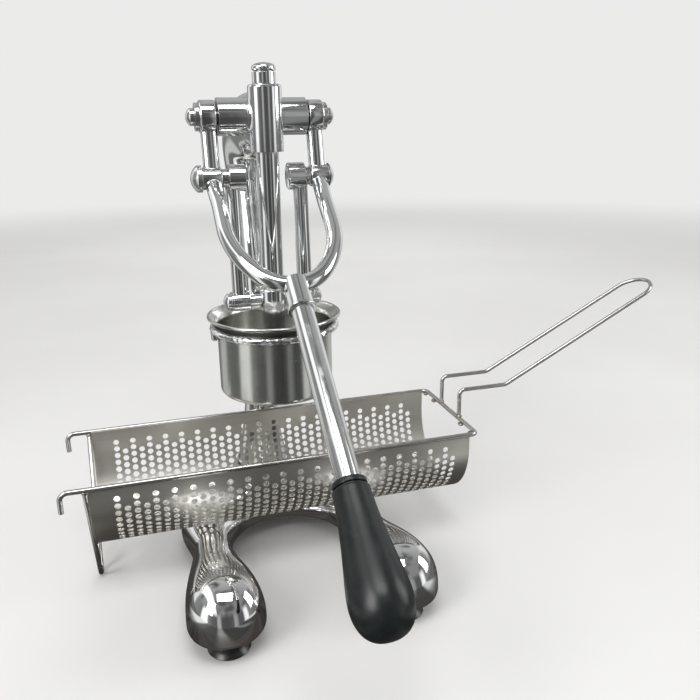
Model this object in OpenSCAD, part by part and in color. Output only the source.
// Lever press with horseshoe base, hanging cup and loose perforated trough.
// Millimetres. +Z up, front faces -Y. The modules are drawn with the plunger
// rod on the Z axis; the assembly then moves so that the origin is on the
// table in the middle of its footprint.

/* [Base] */
// Half distance between the centre lines of the two legs at the waist
leg_offset = 68; // [66:70]
// Half width of a leg at its waist
leg_half_width = 16.5; // [14:18]
// Height of the top of the legs under the trough
leg_top = 37.8; // [36:37.8]
// Half width of the bulb at the front of a leg
bulb_half_width = 29; // [27:31]
// Half height of the bulb at the front of a leg
bulb_half_height = 23.5; // [20:25]
// Distance of the widest point of the bulbs in front of the rod axis
bulb_reach = 119; // [112:126]
// Length of the rounded nose in front of the widest point
nose_length = 31; // [26:34]
// Radius of the arch between the legs
arch_radius = 50; // [47:52]
// Distance of the centre of that arch in front of the rod axis
arch_centre = 29; // [26:32]
// Half width of the rear body of the base, front to back
rear_half_width = 36; // [33:38]

/* [Feet] */
// Largest diameter of a suction foot
foot_diameter = 32; // [26:34]
// Height of the foot below its seat in the casting
foot_height = 13; // [12:14]
// Diameter of the stem of a foot
foot_stem = 17; // [14:18]

/* [Column] */
// Distance of the slender part of the column behind the rod axis
column_y = 73; // [72:76]
// Half width of the slender part
column_half_width = 13.5; // [12:15]
// Half width of the thick bend at the top
bend_half_width = 20; // [17:22]
// Furthest reach of the bend centre behind the rod axis
bend_y = 103; // [98:106]
// Height of the seat of the column on the base
seat_z = 46; // [45:48]

/* [Head] */
// Height of the lever pivots above the table
pivot_z = 371; // [371:372]
// Distance of the lever pivots behind the rod axis
pivot_y = 17.4; // [17:18]
// Diameter of the crossbar
crossbar_diameter = 28.4; // [26:28.4]
// Half length of the crossbar
crossbar_half = 34.8; // [34.6:34.8]
// Outside diameter of the guide sleeve
sleeve_diameter = 26; // [25:27]
// Height of the lower end of the sleeve
sleeve_bottom = 345; // [343:347]
// Height of the upper end of the sleeve
sleeve_top = 394; // [392:396]

/* [Lever] */
// Angle of the handle below the horizontal at rest
handle_angle = 37; // [36:38]
// Distance of the link pivots behind the rod axis at rest
crank_y = 7.7; // [7:8.5]
// Height of the link pivots at rest
crank_z = 325.4; // [325:326]
// Half distance between the arms of the fork
arm_offset = 41; // [40.8:41.2]
// Diameter of the bent bar of the fork
arm_diameter = 12; // [11:12.4]
// Straight length of an arm in front of the link pivot
arm_length = 54; // [50:58]
// Radius of the shoulders of the fork
shoulder_radius = 75; // [60:90]
// Angle that each shoulder turns through
shoulder_angle = 40; // [30:45]
// Outside diameter of the socket that holds the handle tube
socket_diameter = 18.6; // [18:20]
// Length of that socket
socket_length = 26; // [22:28]
// Diameter of the handle tube
tube_diameter = 15.8; // [15:16.4]
// Distance from the link pivot line to the start of the grip
grip_start = 268; // [262:272]
// Length of the grip
grip_length = 92; // [86:100]
// Largest diameter of the grip
grip_diameter = 37; // [33:39]
// Diameter of the grip at its collar
grip_collar = 21.4; // [20:23]

/* [Links] */
// Height of the pivot between links and plunger at rest
cross_z = 228.5; // [228:229]
// Sideways distance of a link from the middle
link_offset = 27; // [26.8:27.2]
// Diameter of the bar of a link
link_diameter = 12; // [10:12]
// Outside diameter of the upper link eye
link_eye = 21; // [19:22]
// Outside diameter of the lower link eye
link_foot = 16; // [15:17]

/* [Plunger] */
// Diameter of the plunger rod
rod_diameter = 18; // [17.9:18]
// Height of the top of the rod at rest, below its cap
rod_top = 402.5; // [401:404]
// Height of the top face of the pressing disc at rest
disc_top = 171; // [170:174]
// Thickness of the pressing disc
disc_thickness = 8; // [7:9]

/* [Cup] */
// Outside radius of the cup wall
cup_radius = 47; // [46:48]
// Thickness of the cup wall
cup_wall = 1.2; // [1:1.4]
// Height of the rim of the cup above the table
cup_top = 217.5; // [217:218]
// Height of the bottom of the cup above the table
cup_bottom = 151; // [150:152]
// Outside radius of the lip
lip_radius = 54.8; // [53.5:55.5]
// Height of the ring that carries the cup
ring_z = 206.6; // [206:206.6]
// Thickness of the round bar of that ring
ring_bar = 6.2; // [5:6.4]
// Number of nozzles on the outer ring of the plate
nozzle_count = 12; // [8:12]

/* [Basket] */
// Length of the trough
trough_length = 314; // [300:320]
// Outside radius of the round bottom of the trough
trough_radius = 54; // [53:54.5]
// Thickness of the trough sheet
trough_sheet = 1; // [0.8:1.2]
// Height of the lowest point of the trough above the table
trough_bottom = 38; // [38:39]
// Height of the edge of the trough above the table
trough_top = 108; // [106:110]
// Diameter of the rim wire
rim_wire = 4; // [3.5:4.5]
// Diameter of the handle wire
handle_wire = 3.6; // [3:4]
// Height of the risers of the wire handle
riser_height = 27; // [22:30]
// Rise of the sloping part of the wire handle
loop_rise = 82; // [70:90]
// Length of the sloping part along the trough axis
loop_run = 158; // [140:170]
// Distance between the two wires of the handle
loop_width = 38; // [34:42]

/* [Hidden] */
$fn = 64;
gap = 0.05; // running clearance on radius
cup_inner = cup_radius - cup_wall;

// [y, z] of the three axes that run along X
pivot = [pivot_y, pivot_z];
crank = [crank_y, crank_z];
cross = [0, cross_z];

// ---- shared shapes ---------------------------------------------------

function ease(t) = t <= 0 ? 0 : t >= 1 ? 1 : t * t * (3 - 2 * t);
function mix(a, b, t) = a + (b - a) * t;
function signed_pow(value, power) = sign(value) * pow(abs(value), power);

// a station is [centre, half axis, half axis]; this reflects one in the YZ plane
function flip(st) = [[-st[0].x, st[0].y, st[0].z], [-st[1].x, st[1].y, st[1].z], st[2]];

// closed skin through stations; low scales the negative side of the second half axis
module skin(stations, sides = 32, power = 0.86, low = 1) {
    last = len(stations) - 1;
    points = [for (st = stations) for (i = [0:sides - 1])
        let(up = signed_pow(sin(360 * i / sides), power))
        st[0] + st[1] * signed_pow(cos(360 * i / sides), power) + st[2] * (up < 0 ? low * up : up)];
    walls = [for (j = [0:last - 1]) for (i = [0:sides - 1])
        let(here = j * sides, next = here + sides, turn = (i + 1) % sides)
        each [[here + i, next + turn, next + i], [here + i, here + turn, next + turn]]];
    ends = [[for (i = [sides - 1:-1:0]) i], [for (i = [0:sides - 1]) last * sides + i]];
    polyhedron(points = points, faces = concat(walls, ends));
}

// cylinder along X between two x values, at = [y, z]
module along_x(from, to, diameter, at) {
    translate([from, at[0], at[1]]) rotate([0, 90, 0]) cylinder(h = to - from, d = diameter);
}

// cylinder along Y between two y values
module along_y(from, to, diameter, x = 0, z = 0) {
    translate([x, to, z]) rotate([90, 0, 0]) cylinder(h = to - from, d = diameter);
}

// the children and their reflection
module mirrored(axis = [1, 0, 0]) {
    for (side = [0, 1]) mirror(side * axis) children();
}

// bend of a wire around the origin, in the XY plane, starting on +X
module bend(radius, wire, angle = 90) {
    rotate_extrude(angle = angle) translate([radius, 0]) circle(d = wire);
}

// domed end along X, flat face at x, growing towards +X, at = [y, z]
module dome(x, diameter, height, at) {
    ball = diameter * 1.25;
    translate([x, at[0], at[1]]) rotate([0, 90, 0]) rotate_extrude()
        intersection() {
            square([diameter / 2, height]);
            translate([0, height - ball / 2]) circle(d = ball);
        }
}

// ---- base ---------------------------------------------------------------

leg_bottom = 8;
bulb_bottom = 9.5;
// the casting is widest close to its underside: share of the height below that line
base_low = 0.3;
leg_rise = (leg_top - leg_bottom) / (1 + base_low);
bulb_rise = 2 * bulb_half_height / (1 + base_low);

post_y = 92; // foot of the column behind the rod axis
post_radius = 25;
post_bottom = 12;
foot_spots = [[leg_offset, -(bulb_reach + 5)], [40, 62]]; // front and rear, on the +X side

bolt_offset = 12; // half distance between the column bolts
bolt_diameter = 8;
bolt_head_top = 24;
bolt_head_height = 8;

// half of the horseshoe, from the middle of the rear body towards the leg
rear_stations = [for (i = [0:11])
    let(angle = 90 - i * 7.5,
        half_width = mix(leg_half_width, rear_half_width, ease(sin(angle))),
        radius = arch_radius + half_width)
    [[radius * cos(angle), -arch_centre + radius * sin(angle), leg_bottom + base_low * leg_rise],
     half_width * [cos(angle), sin(angle), 0],
     [0, 0, leg_rise]]];

// the leg, from the end of the arch to the widest point of the bulb
leg_stations = [for (i = [0:14])
    let(t = i / 14,
        rise = mix(leg_rise, bulb_rise, ease(t)),
        outer = mix(arch_radius + 2 * leg_half_width, leg_offset + bulb_half_width,
            t * (1.2 + 0.6 * t - 0.8 * t * t)),
        inner = mix(arch_radius, leg_offset - bulb_half_width, ease(t)),
        bottom = mix(leg_bottom, bulb_bottom, ease(t)))
    [[(outer + inner) / 2, -mix(arch_centre, bulb_reach, t), bottom + base_low * rise],
     [(outer - inner) / 2, 0, 0],
     [0, 0, rise]]];

// the rounded nose of the bulb
nose_stations = [for (i = [1:9])
    let(angle = i * 9.4)
    [[leg_offset, -bulb_reach - nose_length * sin(angle), bulb_bottom + base_low * bulb_rise],
     [bulb_half_width * cos(angle), 0, 0],
     [0, 0, bulb_rise * cos(angle)]]];

module at_feet(z) {
    for (side = [-1, 1], spot = foot_spots) translate([side * spot.x, spot.y, z]) children();
}

module at_bolts(z) {
    for (side = [-1, 1]) translate([side * bolt_offset, post_y, z]) children();
}

module base_casting() color("#c8ccd0") {
    half = concat(rear_stations, leg_stations, nose_stations);
    last = len(half) - 1;
    difference() {
        union() {
            skin(concat([for (i = [last:-1:0]) half[i]], [for (i = [1:last]) flip(half[i])]),
                low = base_low);
            translate([0, post_y, post_bottom]) cylinder(h = seat_z - post_bottom, r = post_radius);
        }
        at_feet(-1) cylinder(h = 1 + foot_height, d = foot_stem + 1);
        at_bolts(0) {
            cylinder(h = 60, d = bolt_diameter + 0.4);
            cylinder(h = bolt_head_top, d = 15);
        }
    }
}

// cups turned from a [radius, z] outline
module suction_feet() color("#3a3c3e")
    at_feet(0) rotate_extrude() polygon([
        [0, 4], [foot_diameter * 0.3, 2.4], [foot_diameter / 2 - 3, 0],
        [foot_diameter / 2 - 0.6, 0], [foot_diameter / 2, 0.8], [foot_diameter * 0.42, 3.4],
        [foot_diameter * 0.3, 6.6], [foot_stem / 2, 8.2], [foot_stem / 2, foot_height],
        [0, foot_height]]);

// socket head bolts, standing head down
module column_bolts() color("#6e7276")
    at_bolts(0) {
        translate([0, 0, bolt_head_top - bolt_head_height]) difference() {
            cylinder(h = bolt_head_height, d = 13);
            translate([0, 0, -1]) cylinder(h = 5, d = 6.9, $fn = 6);
        }
        translate([0, 0, bolt_head_top - 0.1]) cylinder(h = 40, d = bolt_diameter);
    }

// ---- column and head ------------------------------------------------------

screw_z = ring_z - 2.3; // screw that holds the ring on the column
screw_diameter = 6;
screw_head_y = 81;
ring_seat_y = 62; // flat on the column that takes the arm of the ring
pocket_y = 40; // front of the cut that makes that flat

pivot_pin_diameter = 8;
pivot_bore = 12; // bore of the fork eyes and washers
washer_inner_x = 48.7;
washer_outer_x = 51.8;

// centre line from the sleeve over the bend to the seat:
// [y, z, half thickness, half width, direction of the thickness in degrees from -Y towards +Z]
column_path = [
    [19, 368, 23, 13, 90],
    [48, 369, 22, 15.5, 92],
    [80, 365, 23, bend_half_width - 1, 112],
    [bend_y - 1, 348, 24, bend_half_width, 148],
    [bend_y - 2, 318, 21, 17.5, 190],
    [bend_y - 14, 288, 16.5, 15, 203],
    [column_y + 5, 258, 14.5, 14, 198],
    [column_y, 225, 14, column_half_width, 184],
    [column_y + 0.5, 190, 14, column_half_width, 177],
    [column_y + 5, 150, 14.5, 14, 171],
    [post_y - 7, 105, 16, 15.5, 170],
    [post_y - 1.5, 72, 19, 19, 174],
    [post_y, seat_z, 24, 24, 180]];

// Catmull-Rom curve through the rows of a table, t from 0 to 1
function spline(table, t) = let(
    spans = len(table) - 1,
    i = min(floor(t * spans), spans - 1),
    f = t * spans - i,
    a = table[max(i - 1, 0)],
    b = table[i],
    c = table[i + 1],
    d = table[min(i + 2, spans)])
    0.5 * (2 * b + (c - a) * f + (2 * a - 5 * b + 4 * c - d) * f * f
        + (3 * b - a - 3 * c + d) * f * f * f);

module column_casting() color("#cdd1d5")
    difference() {
        skin([for (i = [0:33]) let(row = spline(column_path, i / 33))
            [[0, row[0], row[1]], [row[3], 0, 0], row[2] * [0, -cos(row[4]), sin(row[4])]]],
            sides = 24, power = 0.92);
        along_x(-60, 60, crossbar_diameter, pivot);
        translate([-30, pocket_y, screw_z - 9]) cube([60, ring_seat_y - pocket_y, 18]);
        along_y(60, 120, screw_diameter + 0.2, z = screw_z);
        along_y(screw_head_y, 120, 10.6, z = screw_z);
        at_bolts(seat_z - 1) cylinder(h = 19.5, d = bolt_diameter);
    }

module crossbar() color("#d6dadd")
    difference() {
        along_x(-crossbar_half, crossbar_half, crossbar_diameter, pivot);
        translate([0, 0, 300]) cylinder(h = 120, d = sleeve_diameter);
        for (from = [-50, 16]) along_x(from, from + 34, pivot_pin_diameter, pivot);
    }

module guide_sleeve() color("#dde1e4") {
    inner = rod_diameter / 2 + gap;
    outer = sleeve_diameter / 2;
    rotate_extrude() polygon([
        [inner, sleeve_bottom], [outer, sleeve_bottom], [outer, sleeve_top - 2],
        [outer - 0.6, sleeve_top - 0.6], [outer - 2, sleeve_top], [inner, sleeve_top]]);
}

module pivot_bolts() color("#e2e5e8")
    mirrored() {
        dome(washer_outer_x, 13, 6.8, pivot);
        along_x(crossbar_half, washer_outer_x + 0.1, pivot_bore - 0.1, pivot);
        along_x(18, crossbar_half + 0.1, pivot_pin_diameter, pivot);
    }

module pivot_washers() color("#c2c6ca")
    mirrored() difference() {
        along_x(washer_inner_x, washer_outer_x, 21, pivot);
        along_x(48, 52.5, pivot_bore, pivot);
    }

// round ring that carries the cup, with its arm to the column and a peg on each side
module cup_ring() color("#d0d4d8") {
    arm_width = 18;
    arm_y = 44;
    arm_z = screw_z - 5;
    plate = 6; // thickness of the upright end of the arm
    difference() {
        union() {
            translate([0, 0, ring_z]) rotate_extrude($fn = 128)
                translate([cup_radius + ring_bar / 2 + 0.1, 0]) circle(d = ring_bar);
            translate([-arm_width / 2, arm_y, arm_z]) cube([arm_width, ring_seat_y - arm_y, 9]);
            translate([-arm_width / 2, ring_seat_y - plate, arm_z]) cube([arm_width, plate, 12]);
            for (side = [-1, 1])
                translate([side * 49.2, 0, ring_z - 9]) cylinder(h = 10.8, d = 7.4);
        }
        translate([0, 0, 190]) cylinder(h = 40, r = cup_radius + 0.08, $fn = 128);
        along_y(50, 70, screw_diameter, z = screw_z);
    }
}

module ring_screw() color("#8b8f93") {
    along_y(50, screw_head_y + 1, screw_diameter, z = screw_z);
    along_y(screw_head_y, screw_head_y + 5, 10, z = screw_z);
}

// ---- lever ----------------------------------------------------------------

link_pin_diameter = 8;
fork_outer_x = 50.5; // outer faces of the link pivot eyes

// the fork: straight arms, shoulders, and a round bottom between them
fork_step = (shoulder_radius - arm_offset) / cos(shoulder_angle);
fork_bottom = shoulder_radius - fork_step;
fork_centre = fork_step * sin(shoulder_angle);
fork_reach = arm_length + fork_centre + fork_bottom;

socket_start = fork_reach - 2;
socket_depth = 8; // floor of the bore, where the tube starts
grip_nose = 24; // length of the rounded end of the grip
grip_body = grip_length - grip_nose;

// directions from the link pivot: to the lever pivot, along the handle, square below it
crank_angle = atan((pivot_y - crank_y) / (pivot_z - crank_z));
crank_point = [0, crank_y, crank_z];
crank_up = [0, sin(crank_angle), cos(crank_angle)];
handle_out = [0, -cos(handle_angle), -sin(handle_angle)];
handle_under = [0, sin(handle_angle), -cos(handle_angle)];

// flat upper part of an arm: its place across and its two half axes
flat_x = arm_offset + 0.9;
flat_half_width = 6.5;
flat_half_depth = 5;
elbow = 8; // reach of the elbow on both sides of the link pivot

upper_arm = [for (drop = [8, 15, 23, 31])
    [[flat_x, pivot_y, pivot_z] - drop * crank_up,
     [flat_half_width, 0, 0],
     flat_half_depth * [0, cos(crank_angle), -sin(crank_angle)]]];

elbow_turn = [for (t = [0:0.25:1])
    let(angle = mix(crank_angle, 90 - handle_angle, t))
    [[flat_x, 0, 0] + crank_point + elbow * ((1 - t) * (1 - t) * crank_up + t * t * handle_out),
     [flat_half_width, 0, 0],
     flat_half_depth * [0, cos(angle), -sin(angle)]]];

// from the flat section to the round bar
arm_taper = [for (distance = [16, 24, 34, 44])
    let(t = ease((distance - elbow) / 26))
    [[mix(flat_x, arm_offset, t), 0, 0] + crank_point + distance * handle_out,
     [mix(flat_half_width, arm_diameter / 2, t), 0, 0],
     mix(flat_half_depth, arm_diameter / 2, t) * handle_under]];

// station of the round bar on an arc, with the arc's centre given across and along the handle
function bar_on_arc(centre_x, centre_out, radius, angle) =
    [[centre_x + radius * cos(angle), 0, 0] + crank_point
        + (centre_out + radius * sin(angle)) * handle_out,
     arm_diameter / 2 * ([cos(angle), 0, 0] + sin(angle) * handle_out),
     arm_diameter / 2 * handle_under];

// one side of the fork, from the upper eye to the middle of the bottom
fork_side = concat(upper_arm, elbow_turn, arm_taper,
    [for (i = [0:8]) bar_on_arc(arm_offset - shoulder_radius, arm_length, shoulder_radius,
        i * shoulder_angle / 8)],
    [for (i = [1:8]) bar_on_arc(0, arm_length + fork_centre, fork_bottom,
        mix(shoulder_angle, 90, i / 8))]);

// children stand with +Z along the handle, at a distance from the link pivot line
module on_handle(distance) {
    translate(crank_point) rotate([handle_angle, 0, 0])
        rotate([90, 0, 0]) translate([0, 0, distance]) children();
}

module fork_yoke() color("#d9dde0")
    difference() {
        union() {
            skin(concat(fork_side, [for (i = [len(fork_side) - 2:-1:0]) flip(fork_side[i])]),
                sides = 20, power = 0.92);
            mirrored() {
                along_x(36.2, 48.6, 25, pivot);
                along_x(35.3, fork_outer_x, 17, crank);
            }
        }
        along_x(-60, 60, pivot_bore, pivot);
        along_x(-60, 60, link_pin_diameter, crank);
        on_handle(socket_start) cylinder(h = 40, d = socket_diameter);
    }

module handle_socket() color("#e0e3e6") {
    outer = socket_diameter / 2;
    on_handle(socket_start) difference() {
        rotate_extrude() polygon([
            [0, 0], [outer, 0], [outer, socket_length - 2.4],
            [outer + 0.8, socket_length - 2], [outer + 0.8, socket_length - 0.4],
            [outer + 0.4, socket_length], [0, socket_length]]);
        translate([0, 0, socket_depth]) cylinder(h = 40, d = tube_diameter);
    }
}

module lever_tube() color("#e4e7ea") {
    start = socket_start + socket_depth;
    on_handle(start) difference() {
        cylinder(h = grip_start + grip_body - start, d = tube_diameter);
        translate([0, 0, -1]) cylinder(h = 400, d = tube_diameter - 4);
    }
}

// collar, neck, swelling body and rounded end, bored for the tube
module grip() color("#23282a") {
    collar = grip_collar / 2;
    widest = grip_diameter / 2;
    on_handle(grip_start) difference() {
        rotate_extrude() polygon(concat(
            [[0, 0], [collar - 1, 0], [collar, 1], [collar, 3.6], [collar - 1, 4.4],
             [collar - 1, 5.4]],
            [for (i = [0:14]) [mix(collar + 0.6, widest, ease(i / 14)), mix(6.4, grip_body, i / 14)]],
            [for (i = [1:10]) [widest * cos(i * 9), grip_body + grip_nose * sin(i * 9)]]));
        translate([0, 0, -1]) cylinder(h = grip_body + 1, d = tube_diameter);
    }
}

module link_pins() color("#c9cdd1")
    mirrored() along_x(17.2, fork_outer_x, link_pin_diameter, crank);

// the nut on the -X side is the taller one
module dome_nuts() color("#e6e9eb") {
    dome(fork_outer_x, 20, 4.4, crank);
    mirror([1, 0, 0]) dome(fork_outer_x, 20.5, 8.6, crank);
}

// ---- links ------------------------------------------------------------------

link_angle = atan(crank_y / (crank_z - cross_z));
link_length = norm([crank_y, crank_z - cross_z]);
cross_pin_diameter = 9;
link_bolt_end = 34.3;

// the +X link: upper eye, its spacer, lower eye and the bar between
module link() {
    difference() {
        union() {
            along_x(17.4, 30, link_eye, crank);
            along_x(29, 34.8, 14, crank);
            along_x(20, 33.1, link_foot, cross);
            translate([link_offset, 0, cross_z]) rotate([-link_angle, 0, 0])
                cylinder(h = link_length, d = link_diameter);
        }
        along_x(10, 60, link_pin_diameter + 2 * gap, crank);
        along_x(10, 60, cross_pin_diameter, cross);
    }
}

module left_link() color("#dadee1") mirror([1, 0, 0]) link();
module right_link() color("#dadee1") link();

module link_end_bolts() color("#bfc3c7")
    mirrored() along_x(20, link_bolt_end, cross_pin_diameter, cross);

module link_end_nuts() color("#e6e9eb")
    mirrored() difference() {
        union() {
            dome(34.6, 13.4, 6.2, cross);
            along_x(33.2, 34.7, 15.6, cross);
        }
        along_x(32, link_bolt_end, cross_pin_diameter, cross);
    }

// ---- plunger -----------------------------------------------------------------

stud_diameter = 8; // studs at both ends of the rod
disc_bottom = disc_top - disc_thickness;
nut_height = 5.5;
disc_radius = 44;
groove_radius = 41;
groove_bottom = disc_top - 5.5;
groove_top = disc_top - 2.5;

module plunger_rod() color("#e3e6e9")
    difference() {
        union() {
            translate([0, 0, disc_top]) cylinder(h = rod_top - disc_top, d = rod_diameter);
            translate([0, 0, disc_bottom - 5])
                cylinder(h = disc_thickness + 6, d = stud_diameter);
        }
        translate([0, 0, rod_top - 9]) cylinder(h = 20, d = stud_diameter);
        along_x(-30, 30, cross_pin_diameter, cross);
    }

module rod_cap() color("#e3e6e9") {
    rod = rod_diameter / 2;
    translate([0, 0, rod_top - 8]) cylinder(h = 9, d = stud_diameter);
    translate([0, 0, rod_top]) rotate_extrude() polygon(concat(
        [[0, 0], [rod - 1.6, 0], [rod - 1.6, 1], [rod - 0.3, 1.4], [rod + 0.2, 2.2]],
        [for (i = [0:9]) [(rod + 0.2) * cos(i * 10), 3.2 + 3.8 * sin(i * 10)]]));
}

// collar around the rod at the cross pin
module crosshead() color("#cfd3d6")
    difference() {
        translate([0, 0, cross_z]) rotate_extrude() polygon([
            [rod_diameter / 2, -9], [10.4, -9], [11.2, -8.2],
            [11.2, 8.2], [10.4, 9], [rod_diameter / 2, 9]]);
        along_x(-30, 30, cross_pin_diameter, cross);
    }

module cross_pin() color("#c4c8cc") along_x(-19.6, 19.6, cross_pin_diameter, cross);

module plunger_disc() color("#d4d8dc")
    rotate_extrude($fn = 128) polygon([
        [stud_diameter / 2, disc_bottom], [disc_radius - 1, disc_bottom],
        [disc_radius, disc_bottom + 1], [disc_radius, groove_bottom],
        [groove_radius, groove_bottom], [groove_radius, groove_top],
        [disc_radius, groove_top], [disc_radius, disc_top - 0.8],
        [disc_radius - 1, disc_top], [stud_diameter / 2, disc_top]]);

module plunger_seal() color("#e8e6e0") {
    outer = cup_inner - 0.08;
    rotate_extrude($fn = 128) polygon([
        [groove_radius, groove_bottom], [outer, groove_bottom],
        [outer, groove_top], [groove_radius, groove_top]]);
}

module plunger_nut() color("#c0c4c8")
    translate([0, 0, disc_bottom - nut_height]) difference() {
        cylinder(h = nut_height, d = 15, $fn = 6);
        translate([0, 0, 0.5]) cylinder(h = 6, d = stud_diameter);
    }

// ---- cup ---------------------------------------------------------------------

cup_opening = 38; // radius of the hole in the cup floor
cup_floor = 1.2;
nozzle_diameter = 9.6;
nozzle_rings = [[0, 1], [15, 6], [29, nozzle_count]]; // [radius, number of nozzles]

// [radius, z]: up the outside, over the lip, down the inside
module cup() color("#b9bcbd")
    rotate_extrude($fn = 128) polygon([
        [cup_opening, cup_bottom],
        [cup_radius - 6, cup_bottom],
        [cup_radius - 2, cup_bottom + 1.6],
        [cup_radius - 0.4, cup_bottom + 5],
        [cup_radius, cup_bottom + 9],
        [cup_radius, cup_top - 8.4],
        [cup_radius + 4.2, cup_top - 5.4],
        [lip_radius - 1.9, cup_top - 2.8],
        [lip_radius - 0.9, cup_top - 2.5],
        [lip_radius, cup_top - 1.3],
        [lip_radius - 0.5, cup_top - 0.2],
        [lip_radius - 1.3, cup_top],
        [lip_radius - 2.6, cup_top - 0.8],
        [cup_radius + 3.6, cup_top - 3.6],
        [cup_inner, cup_top - 7.4],
        [cup_inner, cup_bottom + 9.2],
        [cup_inner - 0.4, cup_bottom + 5.6],
        [cup_inner - 1.6, cup_bottom + 2.4],
        [cup_radius - 6.2, cup_bottom + cup_floor],
        [cup_opening, cup_bottom + cup_floor]]);

module at_nozzles() {
    for (ring = nozzle_rings, i = [0:ring[1] - 1])
        rotate([0, 0, i * 360 / ring[1]]) translate([ring[0], 0, 0]) children();
}

module nozzle_plate() color("#c6c9cb")
    difference() {
        translate([0, 0, cup_bottom + cup_floor]) cylinder(h = 1.5, r = 40, $fn = 96);
        translate([0, 0, 100]) at_nozzles() cylinder(h = 100, d = nozzle_diameter, $fn = 32);
    }

module nozzles() color("#d2d5d7")
    translate([0, 0, cup_bottom - 1.8]) at_nozzles() difference() {
        cylinder(h = 4.5, d = nozzle_diameter, $fn = 32);
        translate([0, 0, -1]) cylinder(h = 10, d = 8, $fn = 32);
    }

// ---- basket -------------------------------------------------------------------

trough_x = 0;
trough_y = 1.5;
trough_left = trough_x - trough_length / 2;
trough_right = trough_x + trough_length / 2;
wall_z = trough_bottom + trough_radius; // where the round bottom meets the upright walls
wall_height = trough_top - wall_z;
wire_y = trough_radius + rim_wire / 2;
wire_z = trough_top - 0.6;
wire_bend = 6; // bends of the rim wire and the leg
handle_bend = 5;
rim_overhang = 14; // straight rim wire beyond the left end
hook_drop = 10; // straight length of the hooks at that end
knee_x = 46; // start of the sloping part, from the foot of the handle

module trough_section(radius) {
    circle(r = radius, $fn = 128);
    translate([-radius, 0]) square([2 * radius, wall_height]);
}

module basket_trough() color("#a7a8a4")
    translate([trough_left, trough_y, wall_z]) rotate([90, 0, 90])
        linear_extrude(trough_length) difference() {
            trough_section(trough_radius);
            trough_section(trough_radius - trough_sheet);
            translate([-200, wall_height]) square([400, 200]);
        }

// wire along both edges, joined across the right end and hooked down at the left
module basket_rim_wire() color("#c9cbc8") {
    overhang_x = trough_left - rim_overhang;
    translate([0, trough_y, wire_z]) {
        mirrored([0, 1, 0]) {
            along_x(overhang_x, trough_right, rim_wire, [wire_y, 0]);
            translate([trough_right, wire_y - wire_bend, 0]) bend(wire_bend, rim_wire);
            translate([overhang_x, wire_y, -wire_bend])
                rotate([90, 0, 0]) rotate([0, 0, 90]) bend(wire_bend, rim_wire);
            translate([overhang_x - wire_bend, wire_y, -wire_bend - hook_drop])
                cylinder(h = hook_drop, d = rim_wire);
        }
        along_y(-wire_y + wire_bend, wire_y - wire_bend, rim_wire, x = trough_right + wire_bend);
    }
}

// two risers, level wires with thick knees, then a sloping loop
module basket_handle() color("#cfd1ce") {
    slope = atan(loop_rise / loop_run);
    straight = norm([loop_run, loop_rise]) - loop_width / 2;
    riser = riser_height - handle_bend;
    knee = handle_wire + 1;
    translate([trough_right + wire_bend, trough_y, wire_z]) {
        mirrored([0, 1, 0]) translate([0, loop_width / 2, 0]) {
            difference() {
                cylinder(h = riser, d = handle_wire);
                rotate([90, 0, 0]) cylinder(h = 9, d = rim_wire, center = true);
            }
            translate([handle_bend, 0, riser])
                rotate([90, 0, 0]) rotate([0, 0, 90]) bend(handle_bend, handle_wire);
            along_x(handle_bend, knee_x - 1, handle_wire, [0, riser_height]);
            translate([knee_x, 0, riser_height]) rotate([90, 0, 0])
                cylinder(h = knee, d = knee, center = true);
        }
        translate([knee_x, 0, riser_height]) rotate([0, -slope, 0]) {
            for (side = [-1, 1]) along_x(1, straight, handle_wire, [side * loop_width / 2, 0]);
            translate([straight, 0, 0]) rotate([0, 0, -90])
                bend(loop_width / 2, handle_wire, angle = 180);
        }
    }
}

// V of wire at the left end: a bend near the table, two sides leaning out to the rim wires
module basket_leg() color("#c9cbc8") {
    centre_z = 2.4 + wire_bend;
    rise = wire_z - rim_wire / 2 - 0.95 - centre_z;
    distance = norm([wire_y, rise]); // from the bend centre to the top of a side
    lean = acos(wire_bend / distance) - atan2(rise, wire_y);
    side_length = sqrt(distance * distance - wire_bend * wire_bend);
    translate([trough_left - rim_wire / 2, trough_y, 0]) translate([0, 0, centre_z]) {
        rotate([90, 0, 90]) rotate([0, 0, 180 + lean])
            bend(wire_bend, rim_wire, angle = 180 - 2 * lean);
        mirrored([0, 1, 0]) rotate([-lean, 0, 0]) translate([0, wire_bend, 0])
            cylinder(h = side_length, d = rim_wire);
    }
}

// ---- assembly ------------------------------------------------------------------

// ends of the footprint; their middle becomes the origin
left_end = trough_left - rim_overhang - wire_bend - rim_wire / 2;
right_end = trough_right + wire_bend + knee_x + loop_run + handle_wire / 2;
front_end = crank_y - (grip_start + grip_body) * cos(handle_angle)
    - norm([grip_nose * cos(handle_angle), grip_diameter / 2 * sin(handle_angle)]);
rear_end = bend_y + 22.75; // back of the column bend

module row() translate([-(left_end + right_end) / 2, -(front_end + rear_end) / 2, 0]) children();

row() base_casting();
row() suction_feet();
row() column_bolts();
row() column_casting();
row() crossbar();
row() guide_sleeve();
row() pivot_bolts();
row() pivot_washers();
row() cup_ring();
row() ring_screw();
row() fork_yoke();
row() handle_socket();
row() lever_tube();
row() grip();
row() link_pins();
row() dome_nuts();
row() left_link();
row() right_link();
row() link_end_bolts();
row() link_end_nuts();
row() plunger_rod();
row() rod_cap();
row() crosshead();
row() cross_pin();
row() plunger_disc();
row() plunger_seal();
row() plunger_nut();
row() cup();
row() nozzle_plate();
row() nozzles();
row() basket_trough();
row() basket_rim_wire();
row() basket_handle();
row() basket_leg();
